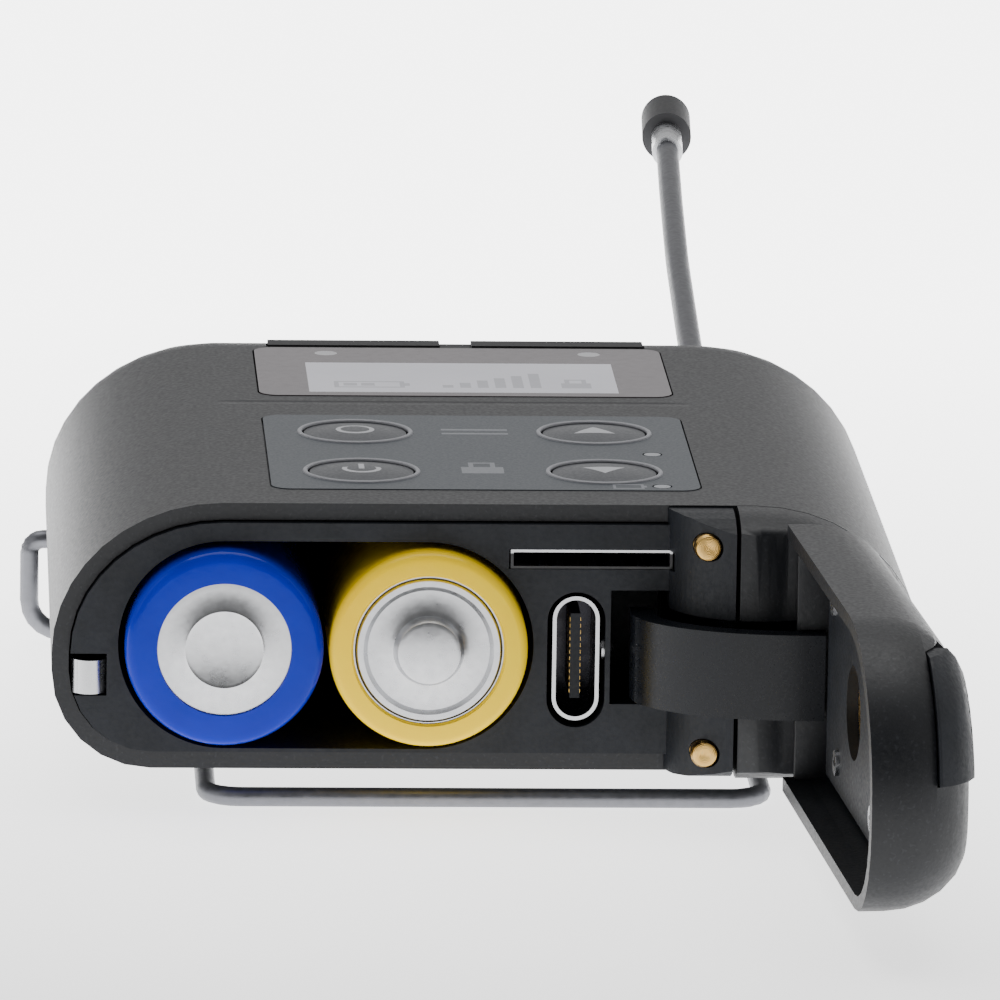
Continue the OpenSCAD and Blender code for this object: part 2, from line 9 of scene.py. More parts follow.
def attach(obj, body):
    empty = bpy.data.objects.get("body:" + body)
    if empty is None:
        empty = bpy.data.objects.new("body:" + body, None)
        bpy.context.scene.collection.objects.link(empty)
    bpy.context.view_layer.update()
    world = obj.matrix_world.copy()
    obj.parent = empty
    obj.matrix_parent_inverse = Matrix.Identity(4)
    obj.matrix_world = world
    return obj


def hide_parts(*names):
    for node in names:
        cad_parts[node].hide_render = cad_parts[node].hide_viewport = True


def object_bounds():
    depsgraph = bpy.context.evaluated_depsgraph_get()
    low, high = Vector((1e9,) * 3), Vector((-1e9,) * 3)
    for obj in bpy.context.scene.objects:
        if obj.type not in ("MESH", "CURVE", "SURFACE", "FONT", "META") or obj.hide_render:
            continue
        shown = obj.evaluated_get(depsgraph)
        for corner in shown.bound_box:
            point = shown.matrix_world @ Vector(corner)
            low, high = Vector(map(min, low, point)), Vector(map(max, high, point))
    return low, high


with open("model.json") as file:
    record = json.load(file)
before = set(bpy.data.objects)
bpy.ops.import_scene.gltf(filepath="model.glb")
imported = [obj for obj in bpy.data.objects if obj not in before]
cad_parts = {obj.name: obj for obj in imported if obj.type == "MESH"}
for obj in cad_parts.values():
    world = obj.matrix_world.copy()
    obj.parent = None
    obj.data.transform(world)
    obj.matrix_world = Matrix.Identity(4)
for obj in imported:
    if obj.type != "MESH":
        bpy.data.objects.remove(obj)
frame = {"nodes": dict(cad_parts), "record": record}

cad_box = [list(corner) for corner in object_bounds()]

mm = 0.001
merge_near = 0.001 * mm

# Shared tools: node trees written as sums on values, and the ways a piece is made and put in.


class Value:
    """A socket of a material or shape tree; arithmetic on it adds Math nodes."""

    def __init__(self, recipe, socket):
        self.recipe, self.socket = recipe, socket

    def maths(self, operation, *values):
        return self.recipe.node("ShaderNodeMath", {"operation": operation},
                                {i: v for i, v in enumerate(values)})[0]

    def __add__(self, other):
        return self.maths("ADD", self, other)

    def __radd__(self, other):
        return self.maths("ADD", other, self)

    def __sub__(self, other):
        return self.maths("SUBTRACT", self, other)

    def __rsub__(self, other):
        return self.maths("SUBTRACT", other, self)

    def __mul__(self, other):
        return self.maths("MULTIPLY", self, other)

    def __rmul__(self, other):
        return self.maths("MULTIPLY", other, self)

    def __lt__(self, other):
        return self.maths("LESS_THAN", self, other)

    def __gt__(self, other):
        return self.maths("GREATER_THAN", self, other)


class Made:
    """A node that was made; its outputs are read by name or number."""

    def __init__(self, recipe, node):
        self.recipe, self.node = recipe, node

    def __getitem__(self, key):
        if isinstance(key, int):
            return Value(self.recipe, self.node.outputs[key])
        return Value(self.recipe, next(s for s in self.node.outputs if s.name == key and s.enabled))


class Recipe:
    """The nodes of one material or one shape."""

    def __init__(self, tree):
        self.tree = tree

    def node(self, kind, settings=None, sockets=None):
        new = self.tree.nodes.new(kind)
        for key, value in (settings or {}).items():
            setattr(new, key, value)
        for key, value in (sockets or {}).items():
            if isinstance(key, int):
                socket = new.inputs[key]
            else:
                socket = next(s for s in new.inputs if s.name == key and s.enabled)
            if isinstance(value, Value):
                self.tree.links.new(value.socket, socket)
            elif isinstance(value, list):
                for one in value:
                    self.tree.links.new(one.socket, socket)
            else:
                socket.default_value = value
        return Made(self, new)

    def place(self):
        """Object coordinates, in metres."""
        return self.node("ShaderNodeTexCoord")["Object"]

    def axes(self):
        """The same place, as separate X, Y and Z."""
        return self.node("ShaderNodeSeparateXYZ", None, {0: self.place()})

    def vector(self, x, y, z):
        return self.node("ShaderNodeCombineXYZ", None, {"X": x, "Y": y, "Z": z})[0]

    def absolute(self, value):
        return self.node("ShaderNodeMath", {"operation": "ABSOLUTE"}, {0: value})[0]

    def noise(self, size, detail=2.0):
        """Noise whose blots are about size metres across, from 0 to 1."""
        return self.node("ShaderNodeTexNoise", None, {
            "Vector": self.place(), "Scale": 1 / size, "Detail": detail, "Roughness": 0.5})[0]

    def between(self, value, low, high, to_low=0.0, to_high=1.0):
        return self.node("ShaderNodeMapRange", {"clamp": True}, {
            "Value": value, "From Min": low, "From Max": high, "To Min": to_low,
            "To Max": to_high})[0]

    def spread(self, noise, low=0.0, high=1.0):
        """Noise's usual range, stretched to run from low to high."""
        return self.between(noise, 0.3, 0.7, low, high)

    def blend(self, share, a, b):
        """Colour a where share is 0, colour b where it is 1."""
        return self.node("ShaderNodeMix", {"data_type": "RGBA"}, {
            "Factor": share, "A": a, "B": b})["Result"]

    def bump(self, height, depth, strength):
        """A relief depth metres high where height is 1, followed by the share strength."""
        return self.node("ShaderNodeBump", None, {
            "Height": height, "Distance": depth, "Strength": strength})["Normal"]

    def plan_box(self):
        """A test for rectangles of the plan: 1 from x0 to x1 and y0 to y1, in mm, else 0."""
        at = self.axes()
        x, y = at["X"], at["Y"]

        def box(x0, x1, y0, y1):
            return (x > x0 * mm) * (x < x1 * mm) * (y > y0 * mm) * (y < y1 * mm)
        return box

    def rising(self, along, near, far, low, high):
        """Brightness along Y: low up to near, high beyond far, even in between."""
        y = self.node("ShaderNodeSeparateXYZ", None, {0: along})["Y"]
        return self.between(y, near, far, low, high)


def colour(red, green, blue):
    """A screen colour, 0 to 255, as the linear light that a shader takes."""
    return tuple(((c / 255) / 12.92 if c < 10.3 else (((c / 255) + 0.055) / 1.055) ** 2.4)
                 for c in (red, green, blue)) + (1.0,)


def finish(name, make):
    """A material with one Principled shader; make fills its sockets."""
    material = bpy.data.materials.new(name)
    material.use_nodes = True
    recipe = Recipe(material.node_tree)
    shader = material.node_tree.nodes["Principled BSDF"]
    for key, value in make(recipe).items():
        socket = shader.inputs[key]
        if isinstance(value, Value):
            material.node_tree.links.new(value.socket, socket)
        else:
            socket.default_value = value
    return material


body_of = {node: body for body, nodes in frame["record"]["behaviour"]["bodies"].items()
           for node in nodes}


def added(name, mesh, body, *nodes):
    """Puts a made mesh into the scene on a body, in place of any CAD nodes named."""
    piece = linked(name, mesh)
    if nodes:
        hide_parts(*nodes)
    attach(piece, body)
    return piece


def linked(name, data):
    """A new object in the scene that shows data."""
    thing = bpy.data.objects.new(name, data)
    bpy.context.scene.collection.objects.link(thing)
    return thing


def shade(mesh, angle):
    """Smooth, except where two faces meet at more than angle degrees."""
    mesh.polygons.foreach_set("use_smooth", [True] * len(mesh.polygons))
    mesh.set_sharp_from_angle(angle=math.radians(angle))


def applied(holder):
    """The holder's mesh with its modifiers applied; the holder goes."""
    seen = holder.evaluated_get(bpy.context.evaluated_depsgraph_get())
    mesh = bpy.data.meshes.new_from_object(seen)
    holder.modifiers.clear()
    bpy.data.objects.remove(holder)
    return mesh


def meshed(name, material, spots, faces, angle):
    """A mesh from points in mm, its doubles merged and its normals made to agree."""
    mesh = bpy.data.meshes.new(name)
    mesh.from_pydata([[value * mm for value in spot] for spot in spots], [], faces)
    edit = bmesh.new()
    edit.from_mesh(mesh)
    bmesh.ops.remove_doubles(edit, verts=edit.verts, dist=merge_near)
    bmesh.ops.recalc_face_normals(edit, faces=edit.faces)
    edit.to_mesh(mesh)
    edit.free()
    mesh.materials.append(material)
    shade(mesh, angle)
    return mesh


def smoothed(node, material, angle=30, join=0.4):
    """A merged copy of a CAD node, smooth except at its edges, in the node's place.

    Faces that meet at less than join degrees become one face.
    """
    mesh = frame["nodes"][node].data.copy()
    edit = bmesh.new()
    edit.from_mesh(mesh)
    bmesh.ops.remove_doubles(edit, verts=edit.verts, dist=4 * merge_near)
    bmesh.ops.dissolve_degenerate(edit, edges=edit.edges, dist=2 * merge_near)
    bmesh.ops.dissolve_limit(edit, angle_limit=math.radians(join), verts=edit.verts,
                             edges=edit.edges)
    edit.to_mesh(mesh)
    edit.free()
    mesh.materials.clear()
    mesh.materials.append(material)
    shade(mesh, angle)
    holder = linked(node + "_holder", mesh)
    evened = holder.modifiers.new("evened", "WEIGHTED_NORMAL")
    evened.keep_sharp = True
    evened.weight = 100
    return added(node + "_skin", applied(holder), body_of.get(node, "body"), node)


def grown(name, body, material, sizes, build, *nodes):
    """A piece built by a shape tree; sizes are the tree's named inputs."""
    tree = bpy.data.node_groups.new(name, "GeometryNodeTree")
    tree.interface.new_socket("Geometry", in_out="OUTPUT", socket_type="NodeSocketGeometry")
    sockets = {}
    for key, value in sizes.items():
        kind = "NodeSocketInt" if isinstance(value, int) else "NodeSocketFloat"
        sockets[key] = tree.interface.new_socket(key, in_out="INPUT", socket_type=kind).identifier
    recipe = Recipe(tree)
    shape = build(recipe, recipe.node("NodeGroupInput"))
    real = recipe.node("GeometryNodeRealizeInstances", None, {"Geometry": shape})
    set_to = recipe.node("GeometryNodeSetMaterial", None,
                         {"Geometry": real[0], "Material": material})
    recipe.node("NodeGroupOutput", None, {"Geometry": set_to[0]})
    holder = linked(name + "_holder", bpy.data.meshes.new(name + "_holder"))
    modifier = holder.modifiers.new("grow", "NODES")
    modifier.node_group = tree
    for key, value in sizes.items():
        modifier[sockets[key]] = value
    mesh = applied(holder)
    shade(mesh, 35)
    return added(name, mesh, body, *nodes)


def turned(name, node, material, centre, profile, steps=96):
    """A piece turned about a line along Y, put in place of a CAD node.

    centre is the line's X and Z, and profile holds each ring's (radius, Y), in mm.
    """
    spots, faces = [], []
    for radius, along in profile:
        for step in range(steps):
            a = 2 * math.pi * step / steps
            spots.append((centre[0] + radius * math.cos(a), along,
                          centre[1] + radius * math.sin(a)))
    for ring in range(len(profile) - 1):
        for step in range(steps):
            one, two = ring * steps + step, ring * steps + (step + 1) % steps
            faces.append((one, two, two + steps, one + steps))
    return added(name, meshed(name, material, spots, faces, 38), body_of.get(node, "body"), node)


def rounded(r0, y0, r1, y1, steps=5):
    """Points of a quarter round from (r0, y0), leaving along the axis, to (r1, y1)."""
    return [(r1 + (r0 - r1) * math.cos(i * math.pi / 2 / steps),
             y0 + (y1 - y0) * math.sin(i * math.pi / 2 / steps)) for i in range(steps + 1)]


# Camera, table and light. The pack lies on a plain pale table that glows softly, more so behind
# it, and the light from all round grows the same way. A long lens looks down on the battery end.
# One large soft light stands above and behind the pack, and a weaker one on each side in front.
lens_data = bpy.data.cameras.new("studio_camera")
lens_data.sensor_width = 36
lens_data.lens = 421.2
lens_data.clip_start = 0.05
lens_data.clip_end = 20
camera = linked("studio_camera", lens_data)
camera_at = Vector((-38.31, -838.93, 185.99)) * mm
swung, tipped, rolled = math.radians(-2.778), math.radians(78.307), math.radians(0.867)
camera.matrix_world = (Matrix.Translation(camera_at) @ Matrix.Rotation(swung, 4, "Z")
                       @ Matrix.Rotation(tipped, 4, "X") @ Matrix.Rotation(rolled, 4, "Z"))
bpy.context.scene.camera = camera


def table_paint(recipe):
    return {
        "Base Color": (0.9, 0.9, 0.9, 1),
        "Roughness": 0.9,
        "Emission Color": recipe.rising(recipe.place(), -0.1, 0.15, 0.42, 1.6),
        "Emission Strength": 3,
    }


floor_z, reach = cad_box[0][2], 4
floor_mesh = bpy.data.meshes.new("table")
floor_mesh.from_pydata([(x, y, floor_z) for x, y in ((-reach, -reach), (reach, -reach),
                                                     (reach, reach), (-reach, reach))],
                       [], [(0, 1, 2, 3)])
table = linked("table", floor_mesh)
floor_mesh.materials.append(finish("table_paint", table_paint))

wall_light = bpy.data.worlds.new("studio_wall")
wall_light.use_nodes = True
bpy.context.scene.world = wall_light
background = wall_light.node_tree.nodes["Background"]
wall = Recipe(wall_light.node_tree)
wall_glow = wall.rising(wall.node("ShaderNodeTexCoord")["Generated"], -0.8, 0.6, 0.14, 0.8)
wall.tree.links.new(wall_glow.socket, background.inputs["Strength"])
background.inputs["Color"].default_value = (1, 1, 1, 1)


def soft_light(name, watts, size, at, towards):
    lamp = bpy.data.lights.new(name, "AREA")
    lamp.energy = watts
    lamp.shape = "RECTANGLE"
    lamp.size, lamp.size_y = size
    holder = linked(name, lamp)
    holder.location = at
    holder.rotation_euler = (Vector(towards) - Vector(at)).to_track_quat("-Z", "Y").to_euler()


soft_light("overhead_light", 7, (1.2, 0.8), (0.0, 0.25, 1.2), (0, 0, 0))
soft_light("left_light", 1.2, (0.5, 0.9), (-1.1, -0.5, 0.6), (0, -0.03, 0))
soft_light("right_light", 1.0, (0.4, 0.9), (1.1, -0.6, 0.5), (0, -0.03, 0))

# Housing: one satin-painted magnesium casting, a flat back with softly rolled upper edges. The
# paint is a fine-grained black, so edges and light-facing skin read as grey. A shallow groove
# runs across the top between the keys and the display.


def satin_paint(recipe):
    grain = recipe.noise(0.00028, 2)
    patches = recipe.noise(0.004, 3)
    speck = recipe.between(recipe.noise(0.00024, 0), 0.66, 0.78)
    tone = recipe.blend(recipe.between(patches, 0.35, 0.65), colour(14, 16, 20), colour(18, 20, 25))
    at = recipe.axes()
    groove_x, groove_y, groove_deep = -1.0 * mm, 1.35 * mm, 0.16 * mm
    across = recipe.between(recipe.absolute(at["Y"] - groove_y), 0.15 * mm, 0.7 * mm, 1.0, 0.0)
    along = recipe.between(recipe.absolute(at["X"] - groove_x), 15.5 * mm, 17.5 * mm, 1.0, 0.0)
    groove = across * along * (at["Z"] > 18 * mm)
    height = grain * 0.000012 - groove * groove_deep
    return {
        "Base Color": recipe.blend(speck * 0.12, tone, colour(70, 72, 78)),
        "Roughness": recipe.spread(grain, 0.4, 0.52),
        "Specular IOR Level": 0.4,
        "Normal": recipe.bump(height, 1.0, 0.8),
    }


smoothed("housing", finish("satin_black_paint", satin_paint))

# Lid and its hinge arm: both painted like the housing, the arm more smoothly. The arm is one
# curved leaf with the knuckle, fixed in the lid's end wall.
smoothed("lid_shell", bpy.data.materials["satin_black_paint"])


def smooth_dark(recipe):
    grain = recipe.noise(0.0002, 1)
    return {
        "Base Color": recipe.blend(recipe.noise(0.003, 2), colour(12, 14, 18), colour(19, 22, 28)),
        "Roughness": recipe.spread(grain, 0.26, 0.34),
        "Specular IOR Level": 0.25,
        "Normal": recipe.bump(grain, 0.000006, 0.5),
    }


smoothed("lid_arm", finish("smooth_dark_paint", smooth_dark))

# Chassis, lid plate and other black mouldings: glass-filled plastic with a matt, finely eroded
# skin. The chassis carries the cells, the sockets and the spring pins.


def moulded_black(recipe):
    grain = recipe.noise(0.0003, 2)
    return {
        "Base Color": recipe.blend(recipe.spread(recipe.noise(0.0025, 3)),
                                   colour(18, 21, 26), colour(26, 29, 35)),
        "Roughness": recipe.spread(grain, 0.45, 0.6),
        "Specular IOR Level": 0.28,
        "Normal": recipe.bump(grain, 0.00002, 0.6),
    }


moulded = finish("moulded_black", moulded_black)
smoothed("chassis", moulded, 12, 0.1)
smoothed("lid_plate", moulded)
smoothed("latch_slider", moulded)

# Antenna guard: a thin rubber strip across the far end of the top, pushed into its groove.


def dull_rubber(recipe):
    grain = recipe.noise(0.00025, 2)
    return {
        "Base Color": recipe.blend(grain, colour(24, 24, 26), colour(40, 40, 43)),
        "Roughness": recipe.between(grain, 0.2, 0.8, 0.6, 0.75),
        "Normal": recipe.bump(grain, 0.00002, 0.5),
    }


rubber = finish("dull_rubber", dull_rubber)
smoothed("top_guard", rubber)

# Display window: one smoked acrylic pane, painted underneath except over the grey liquid crystal
# cell. What the cell shows is drawn on the pane: level bars, a battery and a lock, all plain.


def window_pane(recipe):
    box = recipe.plan_box()
    glass = box(-11.5, 11.3, 5.2, 16.4)
    battery = box(-9.6, -4.4, 6.9, 9.3) - box(-9.25, -4.75, 7.25, 8.95) + box(-4.4, -4.0, 7.6, 8.6)
    battery = battery + box(-8.9, -7.9, 7.6, 8.6) + box(-7.6, -6.6, 7.6, 8.6)
    lock = box(7.2, 9.4, 7.0, 8.9) + box(7.5, 9.1, 8.9, 10.3) - box(7.85, 8.75, 8.9, 9.95)
    marks = battery + lock
    for step in range(6):
        left = -1.6 + step * 1.3
        marks = marks + box(left, left + 0.8, 7.0, 8.0 + step * 0.9)
    haze = recipe.noise(0.006, 2)
    at = recipe.axes()
    light_x, light_y, light_radius = 9.85 * mm, 20.1 * mm, math.sqrt(0.7) * mm
    lights = 0.0
    for side in (-light_x, light_x):
        off_x, off_y = at["X"] - side, at["Y"] - light_y
        lights = (off_x * off_x + off_y * off_y < light_radius ** 2) + lights
    paint = recipe.blend(haze, colour(70, 60, 66), colour(84, 73, 79))
    paint = recipe.blend(lights * 0.8, paint, colour(190, 190, 194))
    cell = recipe.blend(haze, colour(206, 206, 216), colour(222, 221, 230))
    shown = recipe.blend(marks * 0.45, cell, colour(90, 92, 100))
    return {
        "Base Color": recipe.blend(glass, paint, shown),
        "Roughness": recipe.spread(recipe.noise(0.0008, 2), 0.12, 0.2),
        "Specular IOR Level": 0.28,
        "Normal": recipe.bump(recipe.noise(0.012, 1), 0.00002, 0.15),
    }


smoothed("display_window", finish("smoked_pane", window_pane))


def dark_cell(recipe):
    cloud = recipe.noise(0.002)
    return {
        "Base Color": recipe.blend(cloud, colour(110, 110, 116), colour(126, 126, 131)),
        "Roughness": recipe.spread(recipe.noise(0.001), 0.2, 0.3),
    }


smoothed("lcd_module", finish("liquid_crystal_cell", dark_cell))

# Keypad: a grained polyester sheet with four domed keys, each in a light moulded ring. Small
# icons are printed beside the keys, and an arrow or a ring on each key.
key_x, key_y, key_apart = 8.65, -16.85, 7.05
upper, lower = key_y + key_apart, key_y - key_apart


def grained_sheet(recipe):
    grain = recipe.noise(0.0002, 2)
    box = recipe.plan_box()
    lock = box(-1.5, 1.5, -24.4, -22.2) + box(-0.95, 0.95, -22.2, -20.6)
    lock = lock - box(-0.6, 0.6, -22.2, -20.95)
    battery = box(9.0, 11.2, -29.6, -28.0) - box(9.2, 11.0, -29.35, -28.25)
    battery = battery + box(11.2, 11.4, -29.1, -28.5)
    menu = box(-2.4, 2.4, -10.4, -9.9) + box(-2.4, 2.4, -9.0, -8.5)
    rim = recipe.blend(grain, colour(52, 58, 64), colour(68, 74, 81))
    return {
        "Base Color": recipe.blend((lock + battery + menu) * 0.6, rim, colour(150, 152, 158)),
        "Roughness": recipe.spread(grain, 0.4, 0.52),
        "Normal": recipe.bump(grain, 0.00002, 0.5),
    }


smoothed("keypad_overlay", finish("grained_sheet", grained_sheet))


def domed_key(recipe):
    grain = recipe.noise(0.00022, 2)
    at = recipe.axes()
    x, y = at["X"], at["Y"]

    def wedge(py, turn):
        rise = (y - (py - 0.9 * turn) * mm) * turn
        side = recipe.absolute(x - key_x * mm)
        return (rise > 0.0) * (rise + side * 1.4 < 2.1 * mm)

    def hoop(py, radius, line):
        off_x, off_y = x + key_x * mm, y - py * mm
        far = off_x * off_x + off_y * off_y
        return (far < (radius * mm) ** 2) * (far > ((radius - line) * mm) ** 2)

    arrows = wedge(upper, 1) + wedge(lower, -1)
    power = hoop(lower, 1.4, 0.35) * (y < (lower + 0.5) * mm)
    bar = recipe.absolute(x + key_x * mm) < 0.2 * mm
    power = power + bar * (y > (lower - 0.2) * mm) * (y < (lower + 1.8) * mm)
    marks = arrows + hoop(upper, 1.4, 0.35) + power
    body = recipe.blend(grain, colour(44, 47, 53), colour(56, 59, 65))
    return {
        "Base Color": recipe.blend(marks * 0.75, body, colour(205, 206, 210)),
        "Roughness": recipe.spread(grain, 0.33, 0.45),
        "Normal": recipe.bump(grain, 0.00001, 0.5),
    }


key_skin = finish("domed_key", domed_key)
for node in ("key_upper_left", "key_upper_right", "key_lower_left", "key_lower_right"):
    smoothed(node, key_skin)


def rings(recipe, size):
    points = recipe.node("GeometryNodeMeshGrid", None, {
        "Size X": size["Across"], "Size Y": size["Along"], "Vertices X": 2, "Vertices Y": 2})
    circle = recipe.node("GeometryNodeCurvePrimitiveCircle", {"mode": "RADIUS"},
                         {"Resolution": 72, "Radius": size["Ring radius"]})
    bead = recipe.node("GeometryNodeCurvePrimitiveCircle", {"mode": "RADIUS"},
                       {"Resolution": 10, "Radius": size["Bead radius"]})
    swept = recipe.node("GeometryNodeCurveToMesh", None,
                        {"Curve": circle["Curve"], "Profile Curve": bead["Curve"]})
    put = recipe.node("GeometryNodeInstanceOnPoints", None,
                      {"Points": points["Mesh"], "Instance": swept[0]})
    return recipe.node("GeometryNodeTransform", None, {
        "Geometry": put[0],
        "Translation": recipe.vector(size["Middle X"], size["Middle Y"], size["Height"])})[0]


def light_resin(recipe):
    grain = recipe.noise(0.0003, 1)
    return {
        "Base Color": recipe.blend(grain, colour(140, 141, 146), colour(158, 159, 164)),
        "Roughness": recipe.spread(grain, 0.4, 0.5),
    }


grown("key_rings", "body", finish("light_resin", light_resin), {
    "Across": 2 * key_x * mm, "Along": 2 * key_apart * mm, "Ring radius": 4.02 * mm,
    "Bead radius": 0.17 * mm, "Middle X": 0.0, "Middle Y": key_y * mm, "Height": 19.14 * mm}, rings)

# Light pipes: four small frosted acrylic rods, two over the display and two beside the keys.


def frosted(recipe):
    cloud = recipe.noise(0.0006, 2)
    return {
        "Base Color": recipe.blend(cloud, colour(120, 124, 130), colour(170, 173, 178)),
        "Roughness": recipe.spread(cloud, 0.25, 0.4),
    }


smoothed("light_pipes", finish("frosted_acrylic", frosted))

# Bright steel: rolled, drawn and stamped parts, that is the switch domes, the shield, the hinge
# pin, the detent, the latch catch and the antenna's ferrule.


def stamped_steel(recipe):
    rub = recipe.noise(0.0009, 4)
    fine = recipe.noise(0.00012, 1)
    return {
        "Base Color": recipe.blend(rub, colour(168, 169, 172), colour(206, 207, 209)),
        "Metallic": 1.0,
        "Roughness": recipe.spread(rub, 0.2, 0.34),
        "Normal": recipe.bump(fine, 0.000004, 0.4),
    }


steel = finish("stamped_steel", stamped_steel)
for node in ("dome_switches", "radio_shield", "hinge_pin", "detent_barrel", "detent_plunger"):
    smoothed(node, steel)

# Latch catch: a strip of spring steel in the left wall, folded to a bright rounded lip. The
# slider's hook snaps behind it. Its two sides cross twice on the fold, so it is thinner there.
fold_x, fold_y, fold_radius, thin = -28.05, -34.65, 1.1, 0.16
lip = [(fold_x - fold_radius, -32.6), (fold_x - fold_radius, -34.4)]
for degrees in range(170, 9, -10):
    a = math.radians(degrees)
    lip.append((fold_x + fold_radius * math.cos(a), fold_y - fold_radius * math.sin(a)))
lip.append((fold_x + fold_radius, -33.9))
back = []
for i, (x, y) in enumerate(lip):
    before, after = Vector(lip[max(i - 1, 0)]), Vector(lip[min(i + 1, len(lip) - 1)])
    run = (after - before).normalized()
    back.append((x + run.y * thin, y + run.x * thin))
spots = [(x, y, z) for z in (5.45, 7.85) for x, y in lip + back]
count = len(lip)
faces = []
for i in range(count - 1):
    for low, high in ((i, i + 1), (count + i + 1, count + i)):
        faces.append((low, high, high + 2 * count, low + 2 * count))
    for level in (0, 2 * count):
        faces.append((level + i, level + count + i, level + count + i + 1, level + i + 1))
for end in (0, count - 1):
    faces.append((end, end + count, end + 3 * count, end + 2 * count))
added("latch_strip", meshed("latch_strip", steel, spots, faces, 35), "body", "latch_catch")

# USB-C socket: a drawn shell, darkened inwards by painted shade, round a black moulded tongue
# with a row of gold contacts on each side.


def gold_plate(recipe):
    rub = recipe.noise(0.0004, 2)
    return {
        "Base Color": recipe.blend(rub, colour(214, 172, 92), colour(232, 196, 122)),
        "Metallic": 1.0,
        "Roughness": recipe.spread(rub, 0.22, 0.36),
    }


gold = finish("gold_plate", gold_plate)
smoothed("usb_tongue", moulded)


def socket_shell(recipe):
    deep = recipe.axes()["Y"]
    rub = recipe.noise(0.0009, 4)
    bright = recipe.blend(rub, colour(178, 179, 182), colour(212, 213, 215))
    # painted shade: the shell's steel turns dark towards the back of the socket's recess
    painted_inner_shade = recipe.between(deep, -34.95 * mm, -34.3 * mm)
    return {
        "Base Color": recipe.blend(painted_inner_shade, bright, colour(48, 48, 52)),
        "Metallic": 1.0,
        "Roughness": recipe.spread(rub, 0.2, 0.34),
    }


smoothed("usb_shell", finish("socket_shell", socket_shell))


def contact_rows(recipe, size):
    line = recipe.node("GeometryNodeMeshLine", {"mode": "OFFSET"}, {
        "Count": size["Count"], "Offset": recipe.vector(size["Step X"], 0.0, size["Step Z"])})
    strip = recipe.node("GeometryNodeMeshCube", None, {
        "Size": recipe.vector(size["Wide"], size["Long"], size["Tall"])})
    row = recipe.node("GeometryNodeInstanceOnPoints", None,
                      {"Points": line[0], "Instance": strip[0]})
    sides = []
    for side in (-1.0, 1.0):
        first = recipe.vector(size["Middle X"] + size["Apart"] * side, size["Middle Y"],
                              size["Low Z"])
        sides.append(recipe.node("GeometryNodeTransform", None,
                                 {"Geometry": row[0], "Translation": first})[0])
    return recipe.node("GeometryNodeJoinGeometry", None, {0: sides})[0]


grown("usb_contacts", "body", gold, {
    "Count": 12, "Step X": 0.0, "Step Z": 0.47 * mm, "Wide": 0.05 * mm, "Long": 3.6 * mm,
    "Tall": 0.26 * mm, "Middle X": 6.2 * mm, "Apart": 0.36 * mm, "Middle Y": -32.2 * mm,
    "Low Z": 5.48 * mm}, contact_rows)

# Card slot: a stamped cage, bright metal on its upper lip and dark and dull below it, with a
# row of eight gold springs along its floor. Both sides of contact_rows fall in one place here,
# so each spring is there twice.


def card_cage(recipe):
    high = recipe.axes()["Z"]
    rub = recipe.noise(0.0009, 4)
    # dark and not metallic below this height, bright metal above it
    lip_only = high > 15.7 * mm
    bright = recipe.blend(rub, colour(190, 191, 194), colour(220, 221, 223))
    return {
        "Base Color": recipe.blend(lip_only, colour(30, 30, 32), bright),
        "Metallic": lip_only,
        "Roughness": recipe.spread(rub, 0.3, 0.42),
    }


smoothed("card_socket", finish("card_cage", card_cage))
grown("card_contacts", "body", gold, {
    "Count": 8, "Step X": 1.15 * mm, "Step Z": 0.0, "Wide": 0.5 * mm, "Long": 3.0 * mm,
    "Tall": 0.3 * mm, "Middle X": 3.2 * mm, "Apart": 0.0, "Middle Y": -33.9 * mm,
    "Low Z": 15.02 * mm}, contact_rows)

# Cells: two AA cells side by side. Each is a plated steel can in a plain coloured sleeve that is
# shrunk over both ends. The blue cell shows its flat end, the yellow its cap.


def shrunk_sleeve(dark, light):
    def make(recipe):
        creases = recipe.noise(0.0012, 3)
        return {
            "Base Color": recipe.blend(recipe.noise(0.004, 2), dark, light),
            "Roughness": recipe.spread(creases, 0.16, 0.26),
            "Specular IOR Level": 0.15,
            "Coat Weight": 0.08,
            "Coat Roughness": 0.06,
            "Normal": recipe.bump(creases, 0.00008, 0.5),
        }
    return make


def plated_can(recipe):
    high = recipe.axes()["Z"]
    rub = recipe.noise(0.0007, 3)
    drawn = recipe.noise(0.0004, 1)
    return {
        "Base Color": recipe.blend(rub, colour(176, 177, 180), colour(212, 213, 215)),
        "Metallic": 1.0,
        "Roughness": recipe.between(high * 20 + rub, 0.3, 1.2, 0.24, 0.36),
        "Normal": recipe.bump(drawn, 0.000012, 0.5),
    }


can_steel = finish("plated_can", plated_can)
blue_x, yellow_x, axis_z = -18.6, -4.25, 9.03
far_end = [(7.0, 10.9)] + rounded(7.0, 10.9, 6.6, 11.5)
blue_end = rounded(7.0, -36.5, 6.2, -37.25) + [(5.2, -37.32)] + rounded(4.75, -37.32, 4.7, -37.1)
yellow_end = rounded(7.0, -36.5, 6.4, -37.3) + rounded(5.45, -37.34, 5.3, -37.1)
turned("cell_blue_sleeve", "cell_blue_wrap",
       finish("blue_sleeve", shrunk_sleeve(colour(0, 22, 150), colour(0, 34, 178))),
       (blue_x, axis_z), blue_end[::-1] + far_end)
turned("cell_blue_steel", "cell_blue_can", can_steel, (blue_x, axis_z),
       [(0, -37.22), (2.55, -37.22), (2.75, -37.3), (2.95, -37.2), (4.3, -37.12), (5.9, -37.05),
        (6.45, -36.9), (6.75, -36.5), (6.75, 11.6), (6.3, 12.0), (3.0, 12.0), (2.75, 12.15),
        (2.7, 13.0), (2.45, 13.2), (0, 13.2)])
turned("cell_yellow_sleeve", "cell_yellow_wrap",
       finish("yellow_sleeve", shrunk_sleeve(colour(255, 206, 0), colour(255, 220, 0))),
       (yellow_x, axis_z), yellow_end[::-1] + far_end)
